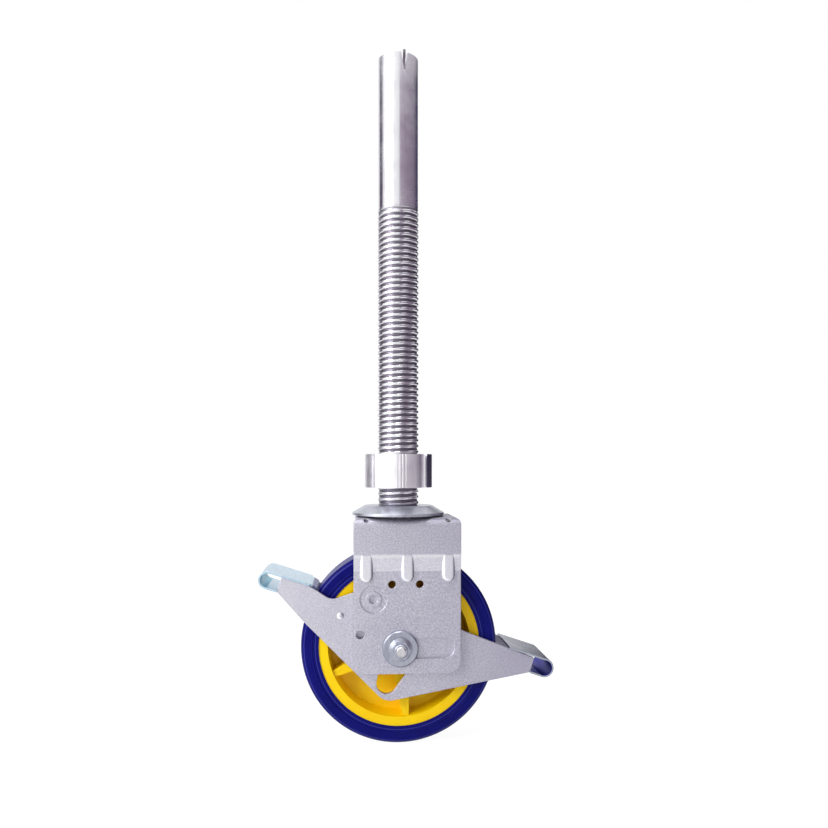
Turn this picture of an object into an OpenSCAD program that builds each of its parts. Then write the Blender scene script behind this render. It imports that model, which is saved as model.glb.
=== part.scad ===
// Scaffold castor with a threaded adjusting stem and a two-pedal rocking brake.
// Heights are worked out from the floor under the tyre, and the finished pieces are then lowered
// so that the origin lies on the stem's axis at the foot of its smooth shank.
// +Z points up the stem, the wheel's axle lies along Y, and the brake pedal reaches towards -X.

/* [Wheel] */
// Radius of the tread
tyre_r = 101.6; // [98:0.2:105]
// Width of the tyre across its side faces
tyre_w = 50; // [46:1:52]
// Radius of the tyre's rounded shoulders
shoulder_r = 6; // [3:0.5:8]
// Thickness of the tyre from the core's flange to the tread
band_t = 18.4; // [14:0.2:24]
// Height of the keying ridge that the tyre is moulded over
key_rise = 3; // [1:0.5:5]
// Width of the keying ridge
key_w = 16; // [8:1:30]
// Distance of the fine bead on the tyre's side from the tread
bead_in = 11.6; // [8:0.2:13]
// Height of the fine bead
bead_rise = 0.6; // [0.3:0.1:1.2]
// Thickness of the core's rim at its flange
rim_t = 8.8; // [6:0.2:12]
// Depth of the step from the tyre's side face down to the core's flange
flange_step = 0.8; // [0.2:0.1:2]
// Thickness of the disc between hub and rim
web_t = 8; // [5:0.5:14]
// Outside radius of the hub at its ends
hub_r = 28; // [25:0.5:32]
// How far the hub stands out of the tyre's side faces
hub_over = 2.5; // [1:0.25:4]
// Draft of the moulded hub and rim, as a change of radius
draft = 3; // [1:0.5:5]
// Number of spokes on each side
spoke_count = 5; // [3:1:8]
// Angle of the first spoke
spoke_turn = 275; // [0:1:360]
// Width of a spoke at the hub
spoke_root_w = 17; // [8:1:22]
// Width of a spoke at the rim
spoke_tip_w = 6; // [4:0.5:12]
// Depth of the spokes' tops below the tyre's side face
spoke_sink = 4; // [1:0.5:10]

/* [Bearings and axle] */
// Outside radius of a wheel bearing
bearing_r = 21; // [19:0.5:22]
// Width of a wheel bearing
bearing_w = 12; // [10:1:14]
// Radial thickness of a bearing ring
race_t = 3.2; // [2.6:0.1:3.6]
// Number of balls in a wheel bearing
bearing_ball_count = 9; // [7:1:10]
// Radius of a wheel bearing's balls
bearing_ball_r = 3.2; // [2.6:0.1:3.4]
// Outside radius of the sleeve that carries the bearings
sleeve_r = 10; // [9:0.25:11]
// Outside radius of the sleeve's shoulder between the bearings
sleeve_shoulder_r = 12; // [11.5:0.25:13]
// Radius of the axle bolt
bolt_r = 5; // [4.5:0.25:5.5]
// Width across the flats of the axle bolt's head and nut
hex_af = 17; // [16:0.5:19]
// Height of the bolt's head
bolt_head_h = 6.5; // [5:0.5:9]
// Height of the axle nut
nut_h = 11; // [9:0.5:14]
// Radius of the nut's flange
nut_flange_r = 12; // [11.5:0.25:14]
// Thickness of the nut's flange
nut_flange_t = 1.5; // [1:0.25:2.5]
// Thickness of the nut's locking collar round the bolt
nut_collar_t = 2; // [1.5:0.25:2.5]
// Height of the nut's locking collar
nut_collar_h = 3; // [2:0.5:4]
// Length of the bolt that stands out of the nut
bolt_end = 1.5; // [1:0.5:6]
// Radius of the axle washers
washer_r = 18.4; // [16:0.2:20]
// Thickness of the axle washers
washer_t = 3; // [2:0.5:4]
// Bevel round the axle washers
washer_bevel = 1.2; // [0.5:0.1:1.8]

/* [Fork] */
// Thickness of the pressed steel sheet
fork_t = 5; // [4:0.5:6]
// Edge of the legs on the brake pedal's side
fork_left = -47.5; // [-50:0.5:-46]
// Edge of the legs on the release pedal's side
fork_right = 62; // [58:0.5:66]
// Reach of the legs below the axle
leg_drop = 25.6; // [23:0.2:30]
// Radius of the legs' lower corners
leg_corner_r = 13; // [6:1:20]
// Room between the tread and the crown
crown_gap = 25.3; // [25:0.1:32]
// Thickness of the crown
crown_t = 6; // [5:0.5:7]
// Outside radius of the bend between crown and legs
bend_r = 9; // [7:0.5:12]
// Radius of the crown's ends as seen from the side
crown_end_r = 6; // [2:0.5:8]
// How far the upper part of each leg stands out
joggle = 3; // [2:0.25:3.5]
// Depth of the joggle's top below the crown
joggle_top_drop = 36.5; // [32:0.5:40]
// Height of the sloping part of the joggle
joggle_h = 17.5; // [12:0.5:22]
// Sheet left between the outer ribs and the leg's edges
rib_margin = 6.45; // [4:0.05:12]
// Width of a rib, whose flat crest lies flush with the upper part of the leg
rib_w = 13; // [11:0.5:16]
// Length of a rib below the joggle
rib_tail = 11; // [6:0.5:16]
// Radius of the dents that stiffen the bend
dent_r = 2.75; // [2:0.25:4]
// Depth of the dents
dent_depth = 2; // [1:0.2:2]
// Radius of the two upper holes
upper_hole_r = 4; // [2.5:0.25:5]
// Distance between the two upper holes
upper_hole_pitch = 28.4; // [22:0.2:32]
// Middle of the two upper holes, from the stem's axis
upper_hole_x = 5.7; // [3:0.1:8]
// Height of the two upper holes above the axle
upper_hole_rise = 65.4; // [62:0.2:68]
// Radius of the inspection hole
side_hole_r = 4.4; // [3:0.2:5]
// Sheet left between the inspection hole and the leg's edge
side_hole_margin = 2.4; // [2:0.1:5]
// Height of the inspection hole above the axle
side_hole_rise = 14.7; // [10:0.1:20]
// Half height of the long stiffening recess beside the axle
swage_r = 10.4; // [8:0.2:12]
// Sheet left between the recess and the leg's edge
swage_margin = 6.1; // [4:0.1:12]
// Depth of the recess in the leg's outer face
swage_depth = 2.1; // [1:0.1:2.6]
// Height of its bulge on the leg's inner face
swage_bulge = 1; // [0.5:0.1:1.2]

/* [Swivel] */
// Width of the cap's sloping skirt
cap_skirt = 12.7; // [10:0.1:16]
// Flat top of the cap beyond the middle of the upper balls
cap_flat = 4; // [3.5:0.1:6]
// Thickness of the cap's sheet
cap_t = 4; // [3:0.25:5]
// Height of the cap's upright rim
cap_rim_h = 2.5; // [1.5:0.25:3]
// Gap between the cap's rim and the crown
cap_gap = 1.5; // [1:0.1:2]
// Radius of the swivel balls
ball_r = 3.97; // [3.5:0.01:4.2]
// Depth of the ball grooves in the crown
groove_sink = 0.8; // [0.5:0.1:1.2]
// Play between the balls and the races that turn on them
race_play = 0.3; // [0.2:0.05:0.4]
// Radius of the upper ring of balls
upper_ring_r = 32; // [31:0.25:33]
// Radius of the lower ring of balls
lower_ring_r = 24; // [23.5:0.25:25]
// Room between the swivel balls in a ring
ball_room = 0.3; // [0.2:0.05:1]
// Thickness of the lower race's cup
cup_t = 4; // [3:0.25:4.5]
// Radius of the kingpin
kingpin_r = 10; // [8:0.5:12]
// How far the kingpin's riveted head stands out round it
kingpin_head_over = 3.5; // [2.5:0.25:5]
// Height of the kingpin's riveted head
kingpin_head_h = 5; // [4:0.5:6]
// Length of the kingpin inside the stem
kingpin_spigot = 28; // [20:1:40]
// Room round the kingpin in the crown's hole
crown_hole_room = 4; // [1:0.25:5]

/* [Stem] */
// Outside radius of the stem's smooth shank
shank_r = 21.2; // [20:0.1:21.4]
// Wall of the stem's tube
stem_wall = 5; // [4:0.25:6]
// Length of the smooth shank
shank_len = 158; // [120:1:200]
// Length of the thread
thread_len = 314.5; // [240:0.5:400]
// Pitch of the thread
pitch = 6; // [4:0.5:8]
// How far the thread's crests stand out of the shank
crest_over = 0.5; // [0.1:0.05:1]
// Depth of the thread
thread_depth = 1.6; // [0.8:0.1:2.2]
// Width of the retaining clip's slot at the stem's end
slot_w = 7; // [5:0.5:9]
// Depth of the slot
slot_depth = 22; // [16:0.5:30]
// Angle of the slot round the stem, from the front
slot_turn = 15; // [0:1:45]
// Thickness of the retaining clip
clip_t = 1; // [0.6:0.1:1.4]
// How far the clip stands out of the stem's end
clip_rise = 3; // [1:0.5:5]
// How far the clip's tip stays inside the stem's surface
clip_inset = 0.3; // [0.2:0.1:1]

/* [Adjuster nut] */
// Wall of the adjuster nut outside the thread's crests
adjuster_wall = 14.3; // [10:0.1:18]
// Height of the adjuster nut
adjuster_h = 35; // [28:0.5:45]
// Radius of the four scallops between its lobes
scallop_r = 4.8; // [4:0.2:6]
// Gap between the nut and the swivel cap as shown
adjuster_lift = 19; // [5:0.5:60]
// Radial clearance of the nut on the thread
thread_fit = 0.08; // [0.04:0.01:0.1]
// Number of grip grooves on each lobe
grip_count = 3; // [1:1:5]
// Distance between the grip grooves
grip_pitch = 3.6; // [2.4:0.1:4]
// Angle of the grip grooves from the lobes' middles
grip_turn = 3; // [-6:0.5:6]
// Radius of a grip groove
grip_r = 0.8; // [0.4:0.1:1.1]

/* [Brake] */
// Thickness of the brake's side plates
plate_t = 4; // [3:0.25:4]
// Room between the hub's ends and the side plates
plate_room = 1; // [0.5:0.1:2]
// Gap between a side plate and the fork's leg
plate_gap = 1.5; // [1.3:0.1:2]
// Radius of the pips pressed out of the side plates
pip_r = 3.6; // [3:0.2:4.4]
// Distance of the pips from the wheel's tread
pip_in = 32.3; // [30:0.1:34]
// Direction of the pips from the axle
pip_turn = 151.36; // [149:0.02:153]
// Height of the pips
pip_rise = 1.1; // [0.6:0.1:1.2]
// Distance of the brake's pivot from the leg's edge
pivot_in = 20.2; // [18:0.1:24]
// Height of the brake's pivot above the axle
pivot_rise = 50.4; // [48:0.1:52]
// Radius of the pivot rivets' shanks
rivet_r = 6; // [5.5:0.25:6.5]
// Radius of the round recesses that the pivot rivets' heads lie in
pivot_recess_r = 14; // [12:0.5:15]
// Depth of those recesses
pivot_recess_t = 1.2; // [0.8:0.1:1.5]
// Radius of the pivot rivets' heads
rivet_head_r = 8; // [7.5:0.25:9]
// Wall left round the hollow in the pivot rivets' heads
rivet_wall = 1.4; // [1:0.1:2.5]
// Depth of that hollow
rivet_hollow_t = 3; // [2:0.5:5]
// Running clearance of the plates on the rivets
rivet_fit = 0.05; // [0.03:0.01:0.1]
// Radius of the window's upper end, which swings round the axle sleeve
window_r = 18; // [17:0.25:19]
// Middle of the window's upper end, from the stem's axis
window_x = 1; // [0:0.1:2]
// Depth of the middle of the window's upper end below the axle
window_drop = 2.6; // [1.5:0.1:3.5]
// Distance of the window's lower end from the plates' lowest corner, towards the brake pedal
window_foot_in = 3.8; // [3:0.1:4.5]
// Height of the window's lower end above the plates' lowest corner
window_foot_rise = 1.1; // [0.5:0.1:2]
// Radius of the window's lower end
window_foot_r = 10.6; // [8:0.2:11.4]
// Material round the pivot at the plates' upper edge
pivot_boss_r = 12; // [11:0.5:13]
// Material round the window's lower end, at the plates' lowest corner
foot_wall = 5.9; // [5:0.1:8]
// Depth of the knee in the plates' lower edge below the wheel's tread
knee_in = 1.2; // [0:0.1:3]
// Direction of the knee from the axle
knee_turn = 163.75; // [161:0.25:166]
// Place of the plates' lowest corner along the leg, from the stem's axis
foot_x = -10; // [-13:0.1:-7]
// Depth of the plates' lowest corner below the axle
foot_drop = 37.9; // [36:0.1:40]
// Depth of the hollow beside the brake pedal below the wheel's tread
dip_in = 21.4; // [20:0.1:23]
// Direction of that hollow from the axle
dip_turn = 137.04; // [136:0.02:138]
// Radius of the hollow in the plates' upper edge beside the brake pedal
dip_r = 13; // [10:0.5:15]
// Room inside each rolled end, short of the plates
roll_room = 13; // [12:0.25:15]
// Distance from the release pedal's free end to the hollow in the plates' upper edge
hollow_reach = 48; // [42:0.5:52]
// Lean of the plates' upper edge away from the release pedal's tread
edge_lean = 2.7; // [1:0.1:4]
// Thickness of the pedals' sheet
pedal_t = 2; // [1.5:0.1:2.6]
// Outside radius of the brake pedal's rolled end
brake_roll_r = 9; // [8:0.25:11]
// Outside radius of the release pedal's rolled end
release_roll_r = 9.75; // [9:0.25:10.5]
// Length of the brake pedal's tread
brake_tread = 41.7; // [36:0.1:44]
// Length of the release pedal's tread
release_tread = 41.5; // [38:0.5:44]
// Distance of the brake pedal's heel from the wheel's tread
brake_out = 11; // [10.5:0.1:14]
// Distance of the release pedal's heel from the wheel's tread
release_out = 11.75; // [11:0.05:16]
// Direction of the brake pedal's heel from the axle
brake_turn = 146.08; // [145:0.02:148]
// Direction of the release pedal's heel from the axle
release_turn = -1.56; // [-3:0.02:0]
// Slope of the brake pedal's tread
brake_slope = 18; // [15:0.5:20]
// Slope of the release pedal's tread
release_slope = 18.8; // [17:0.2:21]
// Overhang of the pedals past the side plates
pedal_over = 1.5; // [1:0.25:3]
// Length of the lip that presses on the tyre
lip_len = 8.6; // [7:0.1:9.5]
// Room between the lip's sides and the side plates
lip_room = 0.5; // [0.3:0.1:2]

/* [Hidden] */
$fn = 96;

// Colours
silver = [0.74, 0.73, 0.76];
zinc = [0.70, 0.76, 0.82];
steel = [0.58, 0.58, 0.60];
aluminium = [0.86, 0.86, 0.88];
blue = [0.05, 0.04, 0.42];
yellow = [1.0, 0.80, 0.0];

// A cut runs past the face that it opens by this much
over = 1;

// Arcs of a belt stay this much short of its straight runs, so that they cross its corners cleanly
seam = 0.02;

// Heights from the floor
axle_h = tyre_r;
crown_low = 2 * tyre_r + crown_gap;
crown_top = crown_low + crown_t;
upper_ball_h = crown_top - groove_sink + ball_r;
lower_ball_h = crown_low + groove_sink - ball_r;
cap_low = crown_top + cap_gap;
cap_top = upper_ball_h + ball_r + race_play + cap_t;
shank_foot = cap_top + thread_len;
stem_top = shank_foot + shank_len;
cup_top = lower_ball_h - ball_r - race_play;
joggle_top = crown_top - joggle_top_drop;
joggle_foot = joggle_top - joggle_h;

// Distances from the wheel's middle plane
side_face = tyre_w / 2;
hub_end = side_face + hub_over;
bearing_mid = hub_end - bearing_w / 2;
plate_inner = hub_end + plate_room;
plate_outer = plate_inner + plate_t;
leg_inner = plate_outer + plate_gap;
leg_outer = leg_inner + fork_t;

// Places along the legs
fork_mid = (fork_left + fork_right) / 2;
rib_pitch = (fork_right - fork_left) / 2 - rib_margin - rib_w / 2;
swage_reach = fork_right - swage_margin - swage_r;
side_hole_x = fork_left + side_hole_margin + side_hole_r;
pivot_x = fork_left + pivot_in;

// Radii that follow from others
core_r = tyre_r - band_t;
bead_r = tyre_r - bead_in;
cap_top_r = upper_ring_r + cap_flat;
cap_r = cap_top_r + cap_skirt;
kingpin_head_r = kingpin_r + kingpin_head_over;
crown_hole_r = kingpin_r + crown_hole_room;
crest_r = shank_r + crest_over;
adjuster_r = crest_r + adjuster_wall;
rivet_hollow_r = rivet_r - rivet_wall;
foot_boss_r = window_foot_r + foot_wall;

// As many swivel balls as each ring has room for
upper_ball_count = floor(180 / asin((ball_r + ball_room / 2) / upper_ring_r));
lower_ball_count = floor(180 / asin((ball_r + ball_room / 2) / lower_ring_r));
bore_r = shank_r - stem_wall;
bearing_pitch_r = (bearing_r + sleeve_r) / 2;
ball_seat_play = 0.02;
thread_fit_r = crest_r + thread_fit;

// Lowers a finished piece from floor heights to the part's own origin
module placed() {
    translate([0, 0, -shank_foot]) children();
}

// Sets a piece at the wheel's axle
module at_axle() {
    translate([0, 0, axle_h]) children();
}

// An XZ outline given thickness along Y
module slab(y_low, y_high) {
    translate([0, y_high, 0]) rotate([90, 0, 0]) linear_extrude(height = y_high - y_low) children();
}

// A YZ outline given length along X
module channel(x_low, x_high) {
    translate([x_low, 0, 0]) rotate([90, 0, 90]) linear_extrude(height = x_high - x_low) children();
}

// A radius and length profile turned round the wheel's axle
module turned_on_axle() {
    rotate([-90, 0, 0]) rotate_extrude() children();
}

// A round bar along Y between two distances from the middle plane
module bar_y(r, y_low, y_high) {
    translate([0, y_low, 0]) rotate([-90, 0, 0]) cylinder(r = r, h = y_high - y_low);
}

// Direction square to the belt from disc a to disc b, each given as [x, y, radius]
// A radius below nought stands for a hollow corner, and the solid lies left of the belt
function belt_turn(a, b) =
    atan2(b[1] - a[1], b[0] - a[0]) - acos((a[2] - b[2]) / norm([b[0] - a[0], b[1] - a[1]]));

// Length of the straight run of belt between two discs
function belt_run(a, b) = sqrt(pow(norm([b[0] - a[0], b[1] - a[1]]), 2) - pow(a[2] - b[2], 2));

// A point beside that run: far along it from disc a, and out from it
function beside(a, b, far, out) =
    let (turn = belt_turn(a, b))
    [
        a[0] + (a[2] + out) * cos(turn) - far * sin(turn),
        a[1] + (a[2] + out) * sin(turn) + far * cos(turn)
    ];

// Outline of a belt round a ring of discs, grown outwards by an amount
module belt(discs, grow = 0) {
    count = len(discs);
    ring = [for (d = discs) [d[0], d[1], d[2] + grow]];
    difference() {
        union() {
            polygon([for (i = [0 : count - 1], end = [0, 1])
                beside(ring[i], ring[(i + 1) % count], end * belt_run(ring[i], ring[(i + 1) % count]), 0)]);
            for (d = ring) if (d[2] > 0) translate([d[0], d[1]]) circle(r = d[2] - seam);
        }
        for (d = ring) if (d[2] < 0) translate([d[0], d[1]]) circle(r = -d[2] - seam);
    }
}

// Lets a shape drawn for the far side serve the near side too
module facing(side) {
    if (side < 0) mirror([0, 1, 0]) children();
    else children();
}

// A hexagonal prism along Y
module hex_y(af, y_low, y_high) {
    translate([0, y_low, 0]) rotate([-90, 0, 0])
        cylinder(r = af / 2 / cos(30), h = y_high - y_low, $fn = 6);
}

// Stem

// Rounded thread form, one crest and one root for each pitch
function thread_turns() = floor((thread_len - 2) / pitch);
function thread_points() = [
    for (i = [0 : thread_turns() - 1], step = [0 : 3])
        let (z = cap_top + 1 + pitch * (i + step / 4))
        [step == 1 || step == 2 ? crest_r : crest_r - thread_depth, z]
];

module stem_tube() {
    color(zinc) placed() difference() {
        rotate_extrude() polygon(concat(
            [[bore_r, cap_top], [crest_r - thread_depth, cap_top]],
            thread_points(),
            [[crest_r - thread_depth, shank_foot - 1], [shank_r, shank_foot]],
            [[shank_r, stem_top], [bore_r, stem_top]]
        ));
        clip_slot();
    }
}

// The tapering slot for the clip
module clip_slot() {
    foot = slot_w / 10;
    rotate([0, 0, slot_turn]) slab(-shank_r - over, -bore_r + over) polygon([
        [-slot_w / 2, stem_top + over],
        [-foot, stem_top - slot_depth],
        [foot, stem_top - slot_depth],
        [slot_w / 2, stem_top + over]
    ]);
}

// Folded spring leaf that rises through the slot and leans outwards
module retaining_clip() {
    leaf = slot_w / 2 - clip_t;
    mid = (shank_r + bore_r) / 2;
    tip = stem_top + clip_rise;
    foot = stem_top - slot_depth + 8;
    color(steel) placed() rotate([0, 0, slot_turn]) union() {
        rotate([90, 0, 90]) translate([0, 0, -leaf / 2]) linear_extrude(height = leaf) polygon([
            [-mid, foot],
            [-mid + clip_t, foot],
            [-shank_r + clip_inset + clip_t, tip - 1],
            [-shank_r + clip_inset + clip_t, tip],
            [-shank_r + clip_inset, tip],
            [-shank_r + clip_inset, tip - 3]
        ]);
        slab(-mid, -mid + clip_t) polygon([
            [-leaf / 2, foot], [leaf / 2, foot], [leaf / 2, foot - 2], [-leaf / 2, foot - 2]
        ]);
    }
}

// Adjuster nut

module adjuster_outline() {
    difference() {
        circle(r = adjuster_r);
        for (lobe = [0 : 90 : 270]) {
            rotate(lobe + 45) translate([adjuster_r, 0]) circle(r = scallop_r);
            for (i = [0 : grip_count - 1])
                rotate(lobe + grip_turn + atan((i - (grip_count - 1) / 2) * grip_pitch / adjuster_r))
                    translate([adjuster_r, 0]) circle(r = grip_r, $fn = 24);
        }
    }
}

module adjuster_nut() {
    color(aluminium) placed() translate([0, 0, cap_top + adjuster_lift]) difference() {
        linear_extrude(height = adjuster_h) adjuster_outline();
        translate([0, 0, -over]) cylinder(r = thread_fit_r, h = adjuster_h + 2 * over);
    }
}

// Swivel

module swivel_cap() {
    under = cap_top - cap_t;
    color(zinc) placed() rotate_extrude() polygon([
        [kingpin_r, under],
        [cap_top_r - cap_t / 2, under],
        [cap_r - cap_t, cap_low],
        [cap_r, cap_low],
        [cap_r, cap_low + cap_rim_h],
        [cap_top_r, cap_top],
        [kingpin_r, cap_top]
    ]);
}

// Kingpin with its riveted head below the lower race and its spigot inside the stem
module kingpin() {
    cup_low = cup_top - cup_t;
    color(steel) placed() rotate_extrude() polygon([
        [0, cup_low - kingpin_head_h],
        [kingpin_head_r - 2, cup_low - kingpin_head_h],
        [kingpin_head_r, cup_low - kingpin_head_h + 2],
        [kingpin_head_r, cup_low],
        [kingpin_r, cup_low],
        [kingpin_r, cap_top],
        [bore_r, cap_top],
        [bore_r, cap_top + kingpin_spigot],
        [0, cap_top + kingpin_spigot]
    ]);
}

// Pressed cup that holds the lower balls up against the crown
module lower_race_cup() {
    cup_low = cup_top - cup_t;
    lip_in = lower_ring_r + ball_r + race_play + 0.7;
    color(zinc) placed() rotate_extrude() polygon([
        [kingpin_r, cup_low],
        [lip_in + 1, cup_low],
        [lip_in + 3, cup_low + 2],
        [lip_in + 3, crown_low - cap_gap],
        [lip_in, crown_low - cap_gap],
        [lip_in, cup_top],
        [kingpin_r, cup_top]
    ]);
}

module ball_ring(count, ring_r, r) {
    for (i = [0 : count - 1])
        rotate([0, 0, 360 * i / count]) translate([ring_r, 0, 0]) sphere(r = r, $fn = 48);
}

module upper_race_balls() {
    color(steel) placed() translate([0, 0, upper_ball_h]) ball_ring(upper_ball_count, upper_ring_r, ball_r);
}

module lower_race_balls() {
    color(steel) placed() translate([0, 0, lower_ball_h]) ball_ring(lower_ball_count, lower_ring_r, ball_r);
}

// Fork

// Section of the channel across the wheel, w at the upper leg and w - joggle at the lower leg
module fork_section(w, top, r, foot) {
    shelf = joggle_top - foot;
    translate([-w, joggle_top]) square([2 * w, top - joggle_top - r]);
    translate([-(w - r), joggle_top]) square([2 * (w - r), top - joggle_top]);
    for (side = [-1, 1]) translate([side * (w - r), top - r]) circle(r = r);
    polygon([
        [-w, joggle_top], [w, joggle_top],
        [w - joggle, joggle_foot], [w - joggle, foot],
        [-(w - joggle), foot], [-(w - joggle), joggle_foot]
    ]);
}

// Side outline of the fork with rounded lower corners and crown ends
module fork_side() {
    foot = axle_h - leg_drop;
    belt([
        [fork_left + leg_corner_r, foot + leg_corner_r, leg_corner_r],
        [fork_right - leg_corner_r, foot + leg_corner_r, leg_corner_r],
        [fork_right - crown_end_r, crown_top - crown_end_r, crown_end_r],
        [fork_left + crown_end_r, crown_top - crown_end_r, crown_end_r]
    ]);
}

// Long recess beside the axle, pressed inwards
module swage_outline() {
    translate([0, axle_h]) belt([[0, 0, swage_r], [swage_reach, 0, swage_r]]);
}

// Section of a rib: flat crest and rounded sides
module rib_section() {
    flat_w = rib_w - 2 * joggle;
    translate([-flat_w / 2, -over]) square([flat_w, joggle + over]);
    for (i = [-1, 1]) translate([i * flat_w / 2, 0]) circle(r = joggle);
}

module fork_ribs() {
    tail = joggle_foot - rib_tail + rib_w / 2;
    for (side = [-1, 1], i = [-1 : 1]) facing(side)
        translate([fork_mid + i * rib_pitch, leg_outer, tail]) {
            linear_extrude(height = joggle_top + over - tail) rib_section();
            rotate([-90, 0, 0]) rotate_extrude() intersection() {
                rib_section();
                translate([0, -joggle]) square([rib_w, 3 * joggle]);
            }
        }
}

// Dents across the bend, one above each outer rib
module bend_dents() {
    w = leg_outer + joggle;
    reach = bend_r * (1 - sqrt(0.5));
    for (side = [-1, 1], i = [-1, 1])
        translate([fork_mid + i * rib_pitch, side * (w - reach), crown_top - reach])
            rotate([side * 45, 0, 0])
                translate([0, 0, dent_r - dent_depth]) rotate([90, 0, 0])
                    cylinder(r = dent_r, h = 24, center = true);
}

module fork() {
    w = leg_outer + joggle;
    low = axle_h - leg_drop - over;
    color(silver) placed() difference() {
        union() {
            difference() {
                intersection() {
                    channel(fork_left, fork_right) fork_section(w, crown_top, bend_r, low);
                    slab(-w - over, w + over) fork_side();
                }
                channel(fork_left - over, fork_right + over)
                    fork_section(w - fork_t, crown_low, bend_r - fork_t, low - over);
            }
            fork_ribs();
            for (side = [-1, 1]) facing(side) slab(leg_inner - swage_bulge, leg_outer) swage_outline();
        }
        slab(-leg_outer - over, -leg_outer + swage_depth) swage_outline();
        slab(leg_outer - swage_depth, leg_outer + over) swage_outline();
        bend_dents();
        for (side = [-1, 1])
            translate([pivot_x, side * (leg_outer + over / 2 - pivot_recess_t / 2), axle_h + pivot_rise])
                bar_y(pivot_recess_r, -(pivot_recess_t + over) / 2, (pivot_recess_t + over) / 2);
        placed_holes(w);
        translate([0, 0, crown_low - over]) cylinder(r = crown_hole_r, h = crown_t + 2 * over);
        translate([0, 0, upper_ball_h]) ball_groove(upper_ring_r);
        translate([0, 0, lower_ball_h]) ball_groove(lower_ring_r);
    }
}

module ball_groove(ring_r) {
    rotate_extrude() translate([ring_r, 0]) circle(r = ball_r + ball_seat_play, $fn = 48);
}

// Holes through both legs
module placed_holes(w) {
    reach = w + over;
    at_axle() bar_y(bolt_r + 0.1, -reach, reach);
    translate([pivot_x, 0, axle_h + pivot_rise]) bar_y(rivet_r, -reach, reach);
    translate([side_hole_x, 0, axle_h + side_hole_rise]) bar_y(side_hole_r, -reach, reach);
    for (side = [-1, 1])
        translate([upper_hole_x + side * upper_hole_pitch / 2, 0, axle_h + upper_hole_rise])
            bar_y(upper_hole_r, -reach, reach);
}

// Axle

module axle_bolt() {
    seat = leg_outer + washer_t;
    end = seat + nut_h + bolt_end;
    color(steel) placed() at_axle() union() {
        bar_y(bolt_r, -end + 1, seat);
        translate([0, -end, 0]) rotate([-90, 0, 0]) rotate_extrude() polygon([
            [0, 0], [bolt_r - 1, 0], [bolt_r, 1], [0, 1]
        ]);
        hex_y(hex_af, seat, seat + bolt_head_h);
    }
}

// Hexagonal nut with a flange below and a round locking collar on top
module axle_nut() {
    seat = leg_outer + washer_t;
    collar_r = bolt_r + nut_collar_t;
    slope_h = nut_flange_r - hex_af / 2;
    color(zinc) placed() at_axle() translate([0, -seat, 0]) rotate([90, 0, 0]) difference() {
        union() {
            cylinder(r = hex_af / 2 / cos(30), h = nut_h - nut_collar_h, $fn = 6);
            rotate_extrude() polygon([
                [0, 0], [nut_flange_r, 0], [nut_flange_r, nut_flange_t],
                [hex_af / 2, nut_flange_t + slope_h / 2], [0, nut_flange_t + slope_h / 2]
            ]);
            rotate_extrude() polygon([
                [0, 0], [collar_r, 0], [collar_r, nut_h - 0.8], [collar_r - 0.8, nut_h], [0, nut_h]
            ]);
        }
        translate([0, 0, -over]) cylinder(r = bolt_r, h = nut_h + 2 * over);
    }
}

module axle_washers() {
    color(zinc) placed() at_axle() for (side = [-1, 1]) facing(side) translate([0, leg_outer, 0])
        turned_on_axle() polygon([
            [bolt_r, 0], [washer_r, 0], [washer_r, washer_t - washer_bevel],
            [washer_r - washer_bevel, washer_t], [bolt_r, washer_t]
        ]);
}

// Sleeve that spaces the legs, from the back of one leg's recess to the other's
module axle_sleeve() {
    end = leg_inner - swage_bulge;
    color(steel) placed() at_axle() difference() {
        union() {
            bar_y(sleeve_r, -end, end);
            bar_y(sleeve_shoulder_r, -hub_end + bearing_w, hub_end - bearing_w);
        }
        bar_y(bolt_r + 0.1, -leg_inner - over, leg_inner + over);
    }
}

// Wheel bearings

module bearing_groove() {
    turned_on_axle() translate([bearing_pitch_r, 0]) circle(r = bearing_ball_r + ball_seat_play, $fn = 48);
}

module race(r_in, r_out, side) {
    color(steel) placed() at_axle() translate([0, side * bearing_mid, 0]) difference() {
        bar_y(r_out, -bearing_w / 2, bearing_w / 2);
        bar_y(r_in, -bearing_w / 2 - over, bearing_w / 2 + over);
        bearing_groove_wide();
    }
}

// The inner groove is a little wider than the balls, which ride with the outer ring
module bearing_groove_wide() {
    turned_on_axle() translate([bearing_pitch_r, 0]) circle(r = bearing_ball_r + race_play, $fn = 48);
}

module outer_race(side) {
    color(steel) placed() at_axle() translate([0, side * bearing_mid, 0]) difference() {
        bar_y(bearing_r, -bearing_w / 2, bearing_w / 2);
        bar_y(bearing_r - race_t, -bearing_w / 2 - over, bearing_w / 2 + over);
        bearing_groove();
    }
}

module bearing_balls(side) {
    color(steel) placed() at_axle() translate([0, side * bearing_mid, 0]) rotate([90, 0, 0])
        ball_ring(bearing_ball_count, bearing_pitch_r, bearing_ball_r);
}

// Wheel

// Half section of the core's outside, which the tyre is moulded onto
module core_seat(edge) {
    translate([0, -edge]) square([core_r, 2 * edge]);
    translate([0, -key_w / 2]) square([core_r + key_rise, key_w]);
}

module wheel_core() {
    edge = side_face - flange_step;
    color(yellow) placed() at_axle() difference() {
        union() {
            difference() {
                union() {
                    turned_on_axle() core_seat(edge);
                    bar_y(hub_r + draft, -hub_end, hub_end);
                }
                for (side = [-1, 1]) facing(side) core_hollow();
            }
            for (side = [-1, 1]) spokes(side);
        }
        bar_y(sleeve_shoulder_r + 3, -hub_end - over, hub_end + over);
        for (side = [-1, 1]) facing(side)
            bar_y(bearing_r, bearing_mid - bearing_w / 2, hub_end + over);
    }
}

// One side's ring-shaped hollow between hub and rim
module core_hollow() {
    rim_in = core_r - rim_t;
    turned_on_axle() polygon([
        [hub_r + draft, web_t / 2],
        [hub_r, hub_end + over],
        [rim_in, hub_end + over],
        [rim_in - draft, web_t / 2]
    ]);
}

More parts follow.
